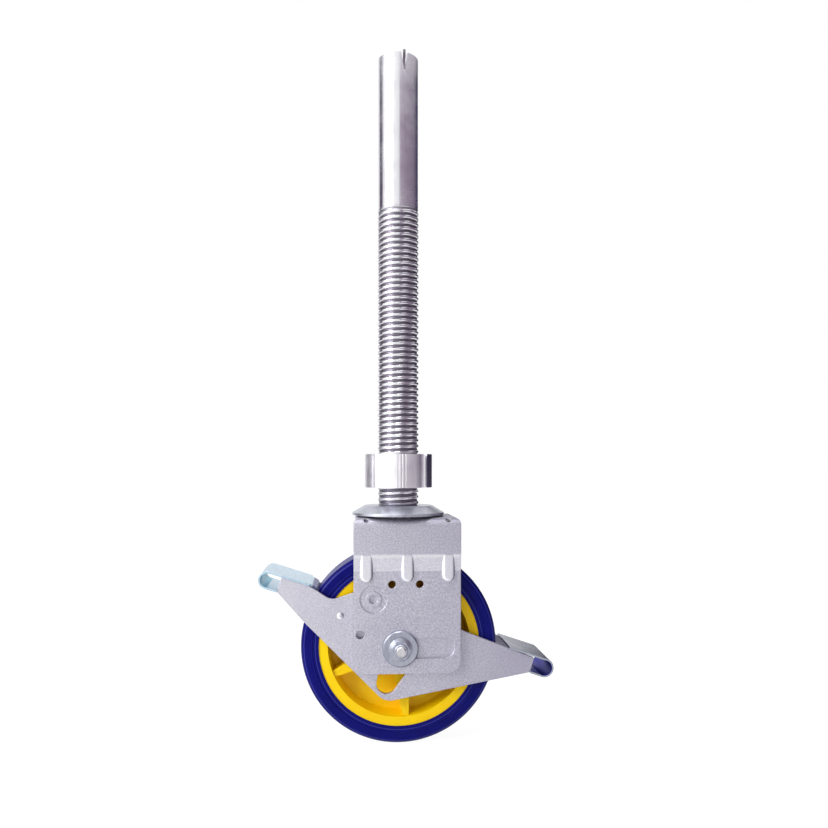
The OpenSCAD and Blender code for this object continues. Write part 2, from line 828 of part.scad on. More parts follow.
module spokes(side) {
    top = side_face - spoke_sink;
    rim_in = core_r - rim_t;
    y_low = side < 0 ? -top : 0;
    for (i = [0 : spoke_count - 1])
        rotate([0, -spoke_turn - 360 * i / spoke_count, 0])
            slab(y_low, y_low + top) polygon([
                [hub_r - 2, -spoke_root_w / 2], [rim_in + 2, -spoke_tip_w / 2],
                [rim_in + 2, spoke_tip_w / 2], [hub_r - 2, spoke_root_w / 2]
            ]);
}

// Half section of the tyre: flat tread, round shoulders, sides with a fine bead
module tyre_section() {
    translate([core_r - 1, -side_face]) square([tyre_r - shoulder_r - core_r + 1, tyre_w]);
    translate([core_r - 1, -side_face + shoulder_r]) square([tyre_r - core_r + 1, tyre_w - 2 * shoulder_r]);
    for (side = [-1, 1]) {
        translate([tyre_r - shoulder_r, side * (side_face - shoulder_r)]) circle(r = shoulder_r);
        translate([bead_r, side * (side_face - 0.2)]) circle(r = bead_rise + 0.2, $fn = 24);
    }
}

module tyre() {
    color(blue) placed() at_axle() turned_on_axle() difference() {
        tyre_section();
        core_seat(side_face + over);
    }
}

// Brake

// A point at a distance out from the wheel's tread, in a direction seen from the axle
function round_wheel(out, turn, r) = [(tyre_r + out) * cos(turn), (tyre_r + out) * sin(turn), r];

edge_r = 1.5;
brake_in_r = brake_roll_r - pedal_t;
release_in_r = release_roll_r - pedal_t;

// Both pedals are placed by their heels, which lie beside the wheel's tread
brake_heel = round_wheel(brake_out, brake_turn, edge_r);
release_heel = round_wheel(release_out, release_turn, 0);

// A point in the brake pedal's own directions: along its tread from the roll, and up from it
function brake_at(u, v, r) = [
    brake_heel[0] + (u - brake_tread) * cos(brake_slope) + (v - brake_in_r + edge_r) * sin(brake_slope),
    brake_heel[1] - (u - brake_tread) * sin(brake_slope) + (v - brake_in_r + edge_r) * cos(brake_slope),
    r
];

// The same for the release pedal, whose tread runs back towards the wheel
function release_at(u, v, r) = [
    release_heel[0] - (u - release_tread) * cos(release_slope) + (v - release_in_r) * sin(release_slope),
    release_heel[1] + (u - release_tread) * sin(release_slope) + (v - release_in_r) * cos(release_slope),
    r
];

// Upper edge of the plates under the release pedal: it touches the tread at its free end only
function edge_at(far, out, r) = [
    release_heel[0] + far * cos(release_slope + edge_lean) + out * sin(release_slope + edge_lean),
    release_heel[1] - far * sin(release_slope + edge_lean) + out * cos(release_slope + edge_lean),
    r
];

// Corners of the side plates in order round the outline, from the lower end at the brake pedal
brake_low = brake_at(roll_room + edge_r, edge_r - brake_roll_r, edge_r);
knee = round_wheel(-knee_in, knee_turn, edge_r);
foot_boss = [foot_x, -foot_drop, foot_boss_r];
window_foot = [foot_x - window_foot_in, window_foot_rise - foot_drop, window_foot_r];
window_head = [window_x, -window_drop, window_r];
release_low = release_at(roll_room + edge_r, edge_r - release_roll_r, edge_r);
release_high = edge_at(release_tread - roll_room - edge_r, -edge_r, edge_r);
hollow = edge_at(-hollow_reach, dip_r, -dip_r);
pivot_boss = [pivot_x, pivot_rise, pivot_boss_r];
dip = round_wheel(dip_r - dip_in, dip_turn, -dip_r);
brake_high = brake_at(roll_room + edge_r, brake_in_r - edge_r, edge_r);

// Inside of the brake pedal's sheet: down the lip from the dip, along the tread, round the roll
brake_roll = brake_at(0, 0, brake_in_r);
brake_inside = [brake_roll, brake_at(3 * brake_tread, 1 - brake_in_r, 1), dip, brake_heel];

// Inside of the release pedal's sheet: round the roll and along the tread
release_roll = release_at(0, 0, release_in_r);
release_inside = [
    release_at(2 * release_tread, 1 - release_in_r, 1),
    release_roll,
    release_at(2 * release_tread, release_in_r - 1, 1)
];

module brake_plate(side) {
    color(silver) placed() at_axle() facing(side) union() {
        plate_pip();
        slab(plate_inner, plate_outer) difference() {
            belt([
                brake_low, knee, foot_boss, release_low, release_high, hollow, pivot_boss, dip, brake_heel,
                brake_high
            ]);
            belt([window_foot, window_head]);
            translate([pivot_x, pivot_rise]) circle(r = rivet_r + rivet_fit);
        }
    }
}

// Small round pip pressed outwards beside the leg
module plate_pip() {
    bulge_r = (pip_r * pip_r + pip_rise * pip_rise) / (2 * pip_rise);
    pip = round_wheel(-pip_in, pip_turn, 0);
    translate([pip[0], 0, pip[1]]) intersection() {
        translate([0, plate_outer + pip_rise - bulge_r, 0]) sphere(r = bulge_r, $fn = 48);
        bar_y(pip_r + 1, plate_outer - plate_t / 2, plate_outer + pip_rise + over);
    }
}

// Sheet bent round an inside outline, reaching to y_end on both sides, kept where the child shape is
module pedal_sheet(inside, y_end) {
    slab(-y_end, y_end) intersection() {
        difference() {
            belt(inside, pedal_t);
            belt(inside);
        }
        children();
    }
}

// The lower edges of both rolls stop just short of the side plates' ends
flange_end = roll_room - 0.3;
pedal_end = plate_outer + pedal_over;

function flat(point) = [point[0], point[1]];

// The tread is as wide as the plates, and its lip bends down to the tyre between them
module brake_pedal() {
    fall = belt_run(dip, brake_heel);
    color(zinc) placed() at_axle() union() {
        pedal_sheet(brake_inside, pedal_end) polygon([
            beside(dip, brake_heel, fall, pedal_t + over),
            beside(dip, brake_heel, fall, -over),
            flat(brake_at(flange_end, 0, 0)),
            flat(brake_at(flange_end, -brake_roll_r - over, 0)),
            flat(brake_at(-2 * brake_roll_r, -brake_roll_r - over, 0)),
            flat(brake_at(-2 * brake_roll_r, 2 * brake_roll_r, 0)),
            flat(brake_at(brake_tread, 2 * brake_roll_r, 0))
        ]);
        pedal_sheet(brake_inside, plate_inner - lip_room) polygon([
            beside(dip, brake_heel, fall - lip_len, pedal_t + over),
            beside(dip, brake_heel, fall - lip_len, -over),
            flat(brake_at(brake_tread - 2, 0, 0)),
            flat(brake_at(brake_tread - 2, 2 * brake_roll_r, 0))
        ]);
    }
}

module release_pedal() {
    color(zinc) placed() at_axle() pedal_sheet(release_inside, pedal_end) polygon([
        flat(release_at(release_tread, release_roll_r + over, 0)),
        flat(release_at(release_tread, 0, 0)),
        flat(release_at(flange_end, 0, 0)),
        flat(release_at(flange_end, -release_roll_r - over, 0)),
        flat(release_at(-2 * release_roll_r, -release_roll_r - over, 0)),
        flat(release_at(-2 * release_roll_r, release_roll_r + over, 0))
    ]);
}

// Pivot rivet: hollow head in the leg's recess, collar in the gap, small head inside the plate
module pivot_rivet(side) {
    inner_head = 1.8;
    play = 0.15;
    collar_r = rivet_r + 3;
    floor_y = leg_outer - pivot_recess_t;
    color(zinc) placed() translate([pivot_x, 0, axle_h + pivot_rise]) facing(side) difference() {
        union() {
            bar_y(rivet_r, plate_inner - play - inner_head, floor_y);
            bar_y(collar_r, plate_inner - play - inner_head, plate_inner - play);
            bar_y(collar_r, plate_outer + play, leg_inner);
            bar_y(rivet_head_r, floor_y, leg_outer);
        }
        bar_y(rivet_hollow_r, leg_outer - rivet_hollow_t, leg_outer + over);
    }
}

stem_tube();
retaining_clip();
adjuster_nut();
swivel_cap();
kingpin();
lower_race_cup();
upper_race_balls();
lower_race_balls();
fork();
axle_bolt();
axle_nut();
axle_washers();
axle_sleeve();
pivot_rivet(-1);  // near_pivot_rivet
pivot_rivet(1);  // far_pivot_rivet
race(sleeve_r, sleeve_r + race_t, -1);  // near_inner_race
race(sleeve_r, sleeve_r + race_t, 1);  // far_inner_race
tyre();
wheel_core();
outer_race(-1);  // near_outer_race
outer_race(1);  // far_outer_race
bearing_balls(-1);  // near_bearing_balls
bearing_balls(1);  // far_bearing_balls
brake_plate(-1);  // near_brake_plate
brake_plate(1);  // far_brake_plate
brake_pedal();
release_pedal();
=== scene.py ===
"""Looks of the scaffold castor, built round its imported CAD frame."""

import math

import bmesh
import bpy
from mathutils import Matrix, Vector


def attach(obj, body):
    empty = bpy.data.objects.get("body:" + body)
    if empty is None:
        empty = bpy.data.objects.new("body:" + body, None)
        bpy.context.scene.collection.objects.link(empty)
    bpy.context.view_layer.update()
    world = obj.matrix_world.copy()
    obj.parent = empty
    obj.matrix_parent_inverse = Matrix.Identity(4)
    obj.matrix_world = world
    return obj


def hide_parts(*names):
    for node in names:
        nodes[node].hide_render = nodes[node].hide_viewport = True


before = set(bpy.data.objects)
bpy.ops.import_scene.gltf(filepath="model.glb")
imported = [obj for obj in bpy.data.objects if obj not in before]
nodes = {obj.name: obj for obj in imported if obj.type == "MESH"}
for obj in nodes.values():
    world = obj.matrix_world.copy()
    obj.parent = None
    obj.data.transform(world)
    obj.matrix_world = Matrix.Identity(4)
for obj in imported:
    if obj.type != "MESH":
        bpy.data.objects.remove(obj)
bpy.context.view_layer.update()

MM = 0.001

# Heights above the floor, in millimetres
SHANK_FOOT = 560.44
STEM_TOP = SHANK_FOOT + 158.0
CAP_TOP = 245.94
JOGGLE_TOP = 197.0
AXLE_H = 101.6

# Stem, in millimetres
SHANK_R = 21.2
BORE_R = 16.2
CREST_R = 21.7
THREAD_DEPTH = 1.6
PITCH = 6.0
# Lengths over which the thread runs out at its top and at its foot
RUN_OUT_TOP = 7.0
RUN_OUT_FOOT = 2.0
SLOT_DEPTH = 22.0
SLOT_HALF_W = 3.5
SLOT_TURN = math.radians(-75)

# How finely the stem is divided
STEM_AROUND = 96
ROWS_PER_TURN = 9
SLOT_ROWS = 11
# Heights of the smooth shank's rows above its foot
SHANK_ROWS = (0.6, 60, 120)
STEM_SMOOTH = 34.0

# Bevel radii of pressed sheet and of plated parts, in metres
SHEET_EDGE = 0.0013
PEDAL_EDGE = 0.0008
CAP_EDGE = 0.0006
PART_EDGE = 0.0005
NUT_EDGE = 0.0004
BEVEL_SAMPLES = 6


def up(h):
    """Height in the frame, in metres, of a height above the floor in millimetres."""
    return (h - SHANK_FOOT) * MM


# Middles and inner radii of the pedals' rolled ends, in metres, in X and Z
BRAKE_ROLL = (-0.1348, up(AXLE_H + 70.5))
BRAKE_ROLL_R = 0.0070
RELEASE_ROLL = (0.1501, up(AXLE_H - 23.8))
RELEASE_ROLL_R = 0.00775
# Place in X of the brake pedal's heel crease; the lip beyond it gets painted shade
BRAKE_CREASE = -0.0900
CREASE_FADE = 0.0012
# Radii of the painted highlight lines round the tyre's side, and half the width of one, in metres
LINE_RADII = (0.0868, 0.0982)
LINE_HALF = 0.0006


# Node helpers

def new_material(name):
    """An empty node material with its principled shader."""
    material = bpy.data.materials.new(name)
    material.use_nodes = True
    return material, material.node_tree, material.node_tree.nodes["Principled BSDF"]


def link(tree, a, b):
    """Joins two sockets."""
    tree.links.new(a, b)


def rgba(colour):
    """A colour with full alpha."""
    return (*colour, 1.0)


def object_place(tree):
    """Place in the object's own space."""
    return tree.nodes.new("ShaderNodeTexCoord").outputs["Object"]


def axes(tree):
    """The object's own X, Y and Z in metres."""
    split = tree.nodes.new("ShaderNodeSeparateXYZ")
    link(tree, object_place(tree), split.inputs[0])
    return split.outputs["X"], split.outputs["Y"], split.outputs["Z"]


def noise(tree, scale, detail, rough, stretch=(1, 1, 1)):
    """Noise in the object's own space, stretched along an axis."""
    mapping = tree.nodes.new("ShaderNodeMapping")
    mapping.inputs["Scale"].default_value = stretch
    texture = tree.nodes.new("ShaderNodeTexNoise")
    texture.inputs["Scale"].default_value = scale
    texture.inputs["Detail"].default_value = detail
    texture.inputs["Roughness"].default_value = rough
    link(tree, object_place(tree), mapping.inputs["Vector"])
    link(tree, mapping.outputs["Vector"], texture.inputs["Vector"])
    return texture.outputs["Fac"]


def ramp(tree, factor, stops):
    """A colour ramp over a factor; stops are (place, colour)."""
    node = tree.nodes.new("ShaderNodeValToRGB")
    elements = node.color_ramp.elements
    while len(elements) < len(stops):
        elements.new(0.5)
    for element, (place, colour) in zip(elements, stops):
        element.position = place
        element.color = rgba(colour)
    link(tree, factor, node.inputs["Fac"])
    return node.outputs["Color"]


def spread(tree, factor, low, high, near=0.3, far=0.7):
    """Maps a factor from near to far to a number from low to high."""
    node = tree.nodes.new("ShaderNodeMapRange")
    node.inputs["From Min"].default_value = near
    node.inputs["From Max"].default_value = far
    node.inputs["To Min"].default_value = low
    node.inputs["To Max"].default_value = high
    link(tree, factor, node.inputs["Value"])
    return node.outputs["Result"]


def math_node(tree, operation, *values):
    """A maths node over links or plain numbers."""
    node = tree.nodes.new("ShaderNodeMath")
    node.operation = operation
    for socket, value in zip(node.inputs, values):
        if isinstance(value, (int, float)):
            socket.default_value = value
        else:
            link(tree, value, socket)
    return node.outputs[0]


def distance(tree, a, b, a_mid=0.0, b_mid=0.0):
    """Distance from a line that runs along the third axis."""
    from_a = math_node(tree, "SUBTRACT", a, a_mid)
    from_b = math_node(tree, "SUBTRACT", b, b_mid)
    a_square = math_node(tree, "MULTIPLY", from_a, from_a)
    b_square = math_node(tree, "MULTIPLY", from_b, from_b)
    return math_node(tree, "SQRT", math_node(tree, "ADD", a_square, b_square))


def ring(tree, radius, middle, half):
    """1 on a circle of radius middle, fading to 0 within half of it."""
    off = math_node(tree, "ABSOLUTE", math_node(tree, "SUBTRACT", radius, middle))
    return spread(tree, off, 1.0, 0.0, 0.0, half)


def turned(tree, direction, near, far, most=1.0):
    """Rises to most on faces that turn towards a direction of the object's own space."""
    coord = tree.nodes.new("ShaderNodeTexCoord")
    dot = tree.nodes.new("ShaderNodeVectorMath")
    dot.operation = "DOT_PRODUCT"
    link(tree, coord.outputs["Normal"], dot.inputs[0])
    dot.inputs[1].default_value = direction
    return spread(tree, dot.outputs["Value"], 0.0, most, near, far)


def blended(tree, share, a, b):
    """Two colours mixed by a plain share of the second."""
    node = tree.nodes.new("ShaderNodeMix")
    node.data_type = "RGBA"
    node.inputs["Factor"].default_value = share
    link(tree, a, node.inputs["A"])
    link(tree, b, node.inputs["B"])
    return node.outputs["Result"]


def tinted(tree, shader, mask, colour, rough=None):
    """Lays another colour, and another roughness, over a shader where the mask is 1."""
    node = tree.nodes.new("ShaderNodeMix")
    node.data_type = "RGBA"
    base = shader.inputs["Base Color"]
    link(tree, mask, node.inputs["Factor"])
    link(tree, base.links[0].from_socket, node.inputs["A"])
    node.inputs["B"].default_value = rgba(colour)
    link(tree, node.outputs["Result"], base)
    if rough is not None:
        node = tree.nodes.new("ShaderNodeMix")
        roughness = shader.inputs["Roughness"]
        link(tree, mask, node.inputs["Factor"])
        link(tree, roughness.links[0].from_socket, node.inputs["A"])
        node.inputs["B"].default_value = rough
        link(tree, node.outputs["Result"], roughness)


def bumped(tree, shader, layers, edge=0.0):
    """Bump from (height, strength, distance) layers, one on another, over edges rounded by a radius."""
    last = None
    if edge:
        rounded = tree.nodes.new("ShaderNodeBevel")
        rounded.samples = BEVEL_SAMPLES
        rounded.inputs["Radius"].default_value = edge
        last = rounded.outputs["Normal"]
    for height, strength, reach in layers:
        bump = tree.nodes.new("ShaderNodeBump")
        bump.inputs["Strength"].default_value = strength
        bump.inputs["Distance"].default_value = reach
        link(tree, height, bump.inputs["Height"])
        if last:
            link(tree, last, bump.inputs["Normal"])
        last = bump.outputs["Normal"]
    link(tree, last, shader.inputs["Normal"])


# Materials

def zinc_material(name, pale, dark, rough, streak=(1, 1, 0.15), grain=0.05, relief=0.10, edge=0.0):
    """Bright plated steel: cloudy patches, faint streaks along one axis and a fine grain."""
    material, tree, shader = new_material(name)
    shader.inputs["Metallic"].default_value = 1.0
    clouds = noise(tree, 34.0, 5.0, 0.6)
    streaks = noise(tree, 420.0, 3.0, 0.6, streak)
    fine = noise(tree, 1900.0, 2.0, 0.6)
    patches = ramp(tree, clouds, [(0.32, dark), (0.68, pale)])
    lines = ramp(tree, streaks, [(0.35, dark), (0.65, pale)])
    link(tree, blended(tree, 0.35, patches, lines), shader.inputs["Base Color"])
    link(tree, spread(tree, clouds, rough - 0.05, rough + 0.09), shader.inputs["Roughness"])
    bumped(tree, shader, [(streaks, relief, 0.0003), (fine, grain, 0.0002)], edge)
    return material


def shaded(material, direction, near, far, colour):
    """Darkens, as painted shade, the faces of a finished material that turn towards a direction."""
    tree = material.node_tree
    tinted(tree, tree.nodes["Principled BSDF"], turned(tree, direction, near, far), colour)


def sheet_material(name):
    """Matt silver coating with a visible grain, on pressed sheet with rounded edges."""
    material, tree, shader = new_material(name)
    shader.inputs["Metallic"].default_value = 0.6
    clouds = noise(tree, 22.0, 4.0, 0.55)
    grain = noise(tree, 620.0, 3.0, 0.75)
    patches = ramp(tree, clouds, [(0.3, (0.43, 0.42, 0.50)), (0.7, (0.53, 0.52, 0.60))])
    dark_speck, mid_speck, pale_speck = (0.24, 0.23, 0.32), (0.48, 0.47, 0.55), (0.78, 0.77, 0.84)
    specks = ramp(tree, grain, [(0.34, dark_speck), (0.5, mid_speck), (0.66, pale_speck)])
    link(tree, blended(tree, 0.5, patches, specks), shader.inputs["Base Color"])
    link(tree, spread(tree, grain, 0.36, 0.52), shader.inputs["Roughness"])
    bumped(tree, shader, [(clouds, 0.15, 0.0012), (grain, 0.34, 0.0004)], SHEET_EDGE)
    # Painted light and shade: lighter to the left and darker to the right, a painted highlight on faces
    # turned to the lower left, as if lit from there, and painted shade on faces turned to the right
    x, y, z = axes(tree)
    tinted(tree, shader, spread(tree, x, 0.0, 0.40, -0.02, -0.11), (0.74, 0.73, 0.79))
    tinted(tree, shader, spread(tree, x, 0.0, 0.55, 0.02, 0.13), (0.33, 0.31, 0.41))
    tinted(tree, shader, turned(tree, (-0.80, 0.0, -0.60), 0.03, 0.25, 0.85), (0.97, 0.98, 1.0))
    tinted(tree, shader, turned(tree, (0.94, 0.0, 0.34), 0.10, 0.45, 0.72), (0.10, 0.09, 0.15))
    # Painted highlight on the ribs' crests, which are as far out as the upper leg and lie below the
    # joggle's top
    crest = spread(tree, math_node(tree, "ABSOLUTE", y), 0.0, 0.42, 0.0412, 0.0419)
    below = spread(tree, z, 1.0, 0.0, up(JOGGLE_TOP - 0.5), up(JOGGLE_TOP + 0.2))
    tinted(tree, shader, math_node(tree, "MULTIPLY", crest, below), (0.96, 0.97, 1.0))
    return material


def tyre_material():
    """Dark blue elastic tyre, a little glossy, with fine pale lines of painted highlight round its
    sides.
    """
    material, tree, shader = new_material("tyre_blue")
    clouds = noise(tree, 30.0, 4.0, 0.6)
    fine = noise(tree, 900.0, 3.0, 0.6)
    shades = [(0.3, (0.001, 0.001, 0.120)), (0.7, (0.003, 0.004, 0.165))]
    link(tree, ramp(tree, clouds, shades), shader.inputs["Base Color"])
    x, y, z = axes(tree)
    radius = distance(tree, x, z, 0.0, up(AXLE_H))
    # Painted highlights: pale lines round the tyre's side
    for middle in LINE_RADII:
        tinted(tree, shader, ring(tree, radius, middle, LINE_HALF), (0.045, 0.05, 0.30))
    shader.inputs["Specular IOR Level"].default_value = 0.10
    link(tree, spread(tree, clouds, 0.26, 0.38), shader.inputs["Roughness"])
    bumped(tree, shader, [(clouds, 0.08, 0.0008), (fine, 0.06, 0.0002)])
    return material


def core_material():
    """Warm yellow moulded plastic."""
    material, tree, shader = new_material("core_yellow")
    clouds = noise(tree, 26.0, 4.0, 0.6)
    fine = noise(tree, 700.0, 3.0, 0.6)
    shades = [(0.3, (0.98, 0.62, 0.0)), (0.7, (1.0, 0.70, 0.001))]
    link(tree, ramp(tree, clouds, shades), shader.inputs["Base Color"])
    shader.inputs["Specular IOR Level"].default_value = 0.2
    shader.inputs["Roughness"].default_value = 0.38
    bumped(tree, shader, [(clouds, 0.1, 0.0008), (fine, 0.05, 0.0002)])
    return material


def stem_material():
    """Plated steel tube: bright outside, darker with painted shade in the thread's roots and inside the
    bore.
    """
    material = zinc_material(
        "stem_zinc", (0.88, 0.88, 0.91), (0.74, 0.73, 0.78), 0.22, (3.0, 3.0, 0.06), 0.02, 0.02)
    tree = material.node_tree
    shader = tree.nodes["Principled BSDF"]
    x, y, z = axes(tree)
    radius = distance(tree, x, y)
    below_shank = spread(tree, z, 1.0, 0.0, -0.0010, 0.0)
    # Painted shade in the thread's roots, below the shank
    root = spread(tree, radius, 1.0, 0.0, 0.02025, 0.02150)
    tinted(tree, shader, math_node(tree, "MULTIPLY", root, below_shank), (0.17, 0.15, 0.19), 0.42)
    # Painted shade inside the bore
    bore = spread(tree, radius, 1.0, 0.0, 0.0168, 0.0176)
    tinted(tree, shader, bore, (0.20, 0.18, 0.22), 0.5)
    return material


def pedal_material(name, pale, dark, roll, roll_r, inside, lip=None):
    """Plated pedal sheet with painted light and shade inside the rolled end, and painted shade on the
    lip if it has one.
    """
    material = zinc_material(name, pale, dark, 0.26, (1, 0.12, 1), 0.04, 0.05, PEDAL_EDGE)
    tree = material.node_tree
    shader = tree.nodes["Principled BSDF"]
    x, y, z = axes(tree)
    radius = distance(tree, x, z, roll[0], roll[1])
    # Painted light and shade inside the rolled end
    hollow = spread(tree, radius, 1.0, 0.0, roll_r + 0.0002, roll_r + 0.0005)
    tinted(tree, shader, hollow, inside, 0.4)
    if lip:
        # Painted shade on the lip beyond the heel crease
        beyond = spread(tree, x, 0.0, 1.0, BRAKE_CREASE, BRAKE_CREASE + CREASE_FADE)
        tinted(tree, shader, beyond, lip, 0.4)
    return material


stem_zinc = stem_material()
cap_zinc = zinc_material(
    "cap_zinc", (0.62, 0.64, 0.70), (0.42, 0.43, 0.50), 0.30, relief=0.06, edge=CAP_EDGE)
part_zinc = zinc_material(
    "part_zinc", (0.47, 0.49, 0.56), (0.28, 0.29, 0.36), 0.36, grain=0.08, edge=PART_EDGE)
# Brake pedal: a painted reflection inside its rolled end and painted shade on the lip past the heel
# crease
brake_zinc = pedal_material(
    "brake_pedal_zinc", (0.62, 0.76, 0.86), (0.36, 0.52, 0.66), BRAKE_ROLL, BRAKE_ROLL_R,
    (0.30, 0.58, 0.72), (0.16, 0.17, 0.33))
# Release pedal: the same plated sheet as the brake pedal, in darker tones as painted shade, with dark
# painted shade inside its rolled end
release_zinc = pedal_material(
    "release_pedal_zinc", (0.44, 0.47, 0.54), (0.26, 0.28, 0.34), RELEASE_ROLL, RELEASE_ROLL_R,
    (0.001, 0.001, 0.30))
steel = zinc_material("bright_steel", (0.64, 0.63, 0.65), (0.42, 0.41, 0.44), 0.28)
spring = zinc_material("spring_steel", (0.45, 0.43, 0.47), (0.26, 0.25, 0.28), 0.28)
aluminium = zinc_material(
    "nut_aluminium", (0.95, 0.94, 0.96), (0.80, 0.79, 0.83), 0.34, (1, 1, 0.1), 0.04, 0.04, NUT_EDGE)
# Painted shade: the nut's faces turned to the right get a dark colour
shaded(aluminium, (0.98, -0.20, 0.0), 0.62, 0.85, (0.16, 0.14, 0.23))
# Painted shade: faces of the washers, race cup and axle nut turned to the lower right get a dark colour
shaded(part_zinc, (0.75, 0.0, -0.66), 0.15, 0.80, (0.10, 0.10, 0.16))
silver = sheet_material("silver_sheet")
blue = tyre_material()
yellow = core_material()

NODES_OF = (
    (stem_zinc, ("stem_tube",)),
    (spring, ("retaining_clip",)),
    (aluminium, ("adjuster_nut",)),
    (cap_zinc, ("swivel_cap",)),
    (part_zinc, ("lower_race_cup", "axle_nut", "axle_washers")),
    (steel, ("kingpin", "upper_race_balls", "lower_race_balls", "axle_bolt", "axle_sleeve",
             "near_inner_race", "far_inner_race", "near_outer_race", "far_outer_race",
             "near_bearing_balls", "far_bearing_balls")),
    (silver, ("fork", "near_pivot_rivet", "far_pivot_rivet", "near_brake_plate", "far_brake_plate")),
    (blue, ("tyre",)),
    (yellow, ("wheel_core",)),
    (brake_zinc, ("brake_pedal",)),
    (release_zinc, ("release_pedal",)),
)
for node_material, names in NODES_OF:
    for name in names:
        node = nodes[name]
        if not node.material_slots:
            node.data.materials.append(node_material)
        for material_slot in node.material_slots:
            material_slot.material = node_material


# Stem with its helical thread

def finished(name, shape, material, body, smooth):
    """Turns a bmesh into a piece that rides on a body, with edges sharp above smooth degrees."""
    bmesh.ops.recalc_face_normals(shape, faces=shape.faces)
    mesh = bpy.data.meshes.new(name)
    shape.to_mesh(mesh)
    shape.free()
    o = bpy.data.objects.new(name, mesh)
    bpy.context.scene.collection.objects.link(o)
    mesh.materials.append(material)
    for polygon in mesh.polygons:
        polygon.use_smooth = True
    mesh.set_sharp_from_angle(angle=math.radians(smooth))
    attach(o, body)
    return o


def thread_radius(phase):
    """Radius at a phase of the rounded thread, 0 at a root and 0.5 at a crest."""
    root_share, flank_share = 0.12, 0.7
    wave = 0.5 - 0.5 * math.cos(2 * math.pi * phase)
    wave = min(1.0, max(0.0, (wave - root_share) / flank_share))
    wave = wave * wave * (3 - 2 * wave)
    return CREST_R - THREAD_DEPTH + THREAD_DEPTH * wave


def stem_radius(height, angle):
    """Outer radius of the stem, whose thread runs out into the shank and into its own foot."""
    if height >= SHANK_FOOT:
        return SHANK_R
    phase = (height - CAP_TOP) / PITCH - (angle / (2 * math.pi))
    radius = thread_radius(phase % 1.0)
    ends = (
        (SHANK_FOOT - height, RUN_OUT_TOP, SHANK_R),
        (height - CAP_TOP, RUN_OUT_FOOT, CREST_R - THREAD_DEPTH),
    )
    for away, reach, plain in ends:
        if away < reach:
            radius = plain + (radius - plain) * max(0.0, away / reach)
    return radius


def slot_half(height):
    """Half of the angle that the tapering slot takes out of the tube at a height."""
    foot = STEM_TOP - SLOT_DEPTH
    if height <= foot:
        return 0.0
    return math.asin(SLOT_HALF_W / SHANK_R) * (height - foot) / SLOT_DEPTH


def stem_rows():
    """Heights of the rows of vertices, close together in the thread and along the slot."""
    steps = int((SHANK_FOOT - CAP_TOP) / PITCH * ROWS_PER_TURN)
    foot = STEM_TOP - SLOT_DEPTH
    rows = [CAP_TOP + (SHANK_FOOT - CAP_TOP) * i / steps for i in range(steps + 1)]
    rows += [SHANK_FOOT + rise for rise in SHANK_ROWS]
    rows += [foot + SLOT_DEPTH * i / SLOT_ROWS for i in range(SLOT_ROWS + 1)]
    return rows


def stem_piece():
    """Tube with a right-handed helical thread, a smooth end and a tapering slot for the clip."""
    rows = stem_rows()
    shape = bmesh.new()
    outer, inner = [], []

    def corner(radius, angle, height):
        place = (radius * MM * math.cos(angle), radius * MM * math.sin(angle), up(height))
        return shape.verts.new(place)

    for height in rows:
        gap = slot_half(height)
        outer_row, inner_row = [], []
        for j in range(STEM_AROUND + 1):
            if gap == 0.0 and j == STEM_AROUND:
                outer_row.append(outer_row[0])
                inner_row.append(inner_row[0])
                break
            angle = SLOT_TURN + gap + (2 * math.pi - 2 * gap) * j / STEM_AROUND
            outer_row.append(corner(stem_radius(height, angle), angle, height))
            inner_row.append(corner(BORE_R, angle, height))
        outer.append(outer_row)
        inner.append(inner_row)
    for i in range(len(rows) - 1):
        for j in range(STEM_AROUND):
            for wall in (outer, inner):
                shape.faces.new((wall[i][j], wall[i][j + 1], wall[i + 1][j + 1], wall[i + 1][j]))
        if slot_half(rows[i + 1]) > 0:
            for j in (0, STEM_AROUND):
                shape.faces.new((outer[i][j], inner[i][j], inner[i + 1][j], outer[i + 1][j]))
    for i in (0, len(rows) - 1):
        for j in range(STEM_AROUND):
            shape.faces.new((outer[i][j], outer[i][j + 1], inner[i][j + 1], inner[i][j]))
    return finished("threaded_stem", shape, stem_zinc, "stem", STEM_SMOOTH)


stem = stem_piece()
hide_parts("stem_tube")


# Floor, cloth and world

FLOOR_COLOUR = (0.9, 0.9, 0.9)
FLOOR_ROUGH = 0.9
# Share of the floor's look that glows for the camera, and how brightly
FLOOR_SHARE = 0.8
FLOOR_GLOW = 1.18
FLOOR_REACH = 40.0
FLOOR_SINK = 0.0002
# Strength of the white world for the rays that light the object
WORLD_LIGHT = 0.42

# Cloth gives the bright metal its shaded side, and no view sees the cloth itself
FLAG_SHADES = [
    (0.0, (0.40, 0.33, 0.41)), (0.25, (0.27, 0.21, 0.28)), (0.55, (0.20, 0.16, 0.22)),
    (0.72, (0.05, 0.04, 0.08)), (1.0, (0.09, 0.07, 0.12)),
]
FLAG_R = 2.2
FLAG_TOP = 1.3
FLAG_STEPS = 24
# Azimuths between which the cloth's shades run
SHADES_FROM = math.radians(-90)
SHADES_TO = math.radians(90)
# Azimuths in degrees of the ends of each cloth
FLAGS = (("flag_right", -86, 68), ("flag_left", 132, 168))


def seen_directly(tree):
    """1 for camera, mirror and glass rays, and 0 for the rays that light the object."""
    path = tree.nodes.new("ShaderNodeLightPath")
    total = path.outputs["Is Camera Ray"]
    for name in ("Is Glossy Ray", "Is Transmission Ray"):
        add = tree.nodes.new("ShaderNodeMath")
        add.operation = "ADD"
        add.use_clamp = True
        link(tree, total, add.inputs[0])
        link(tree, path.outputs[name], add.inputs[1])
        total = add.outputs[0]
    return total


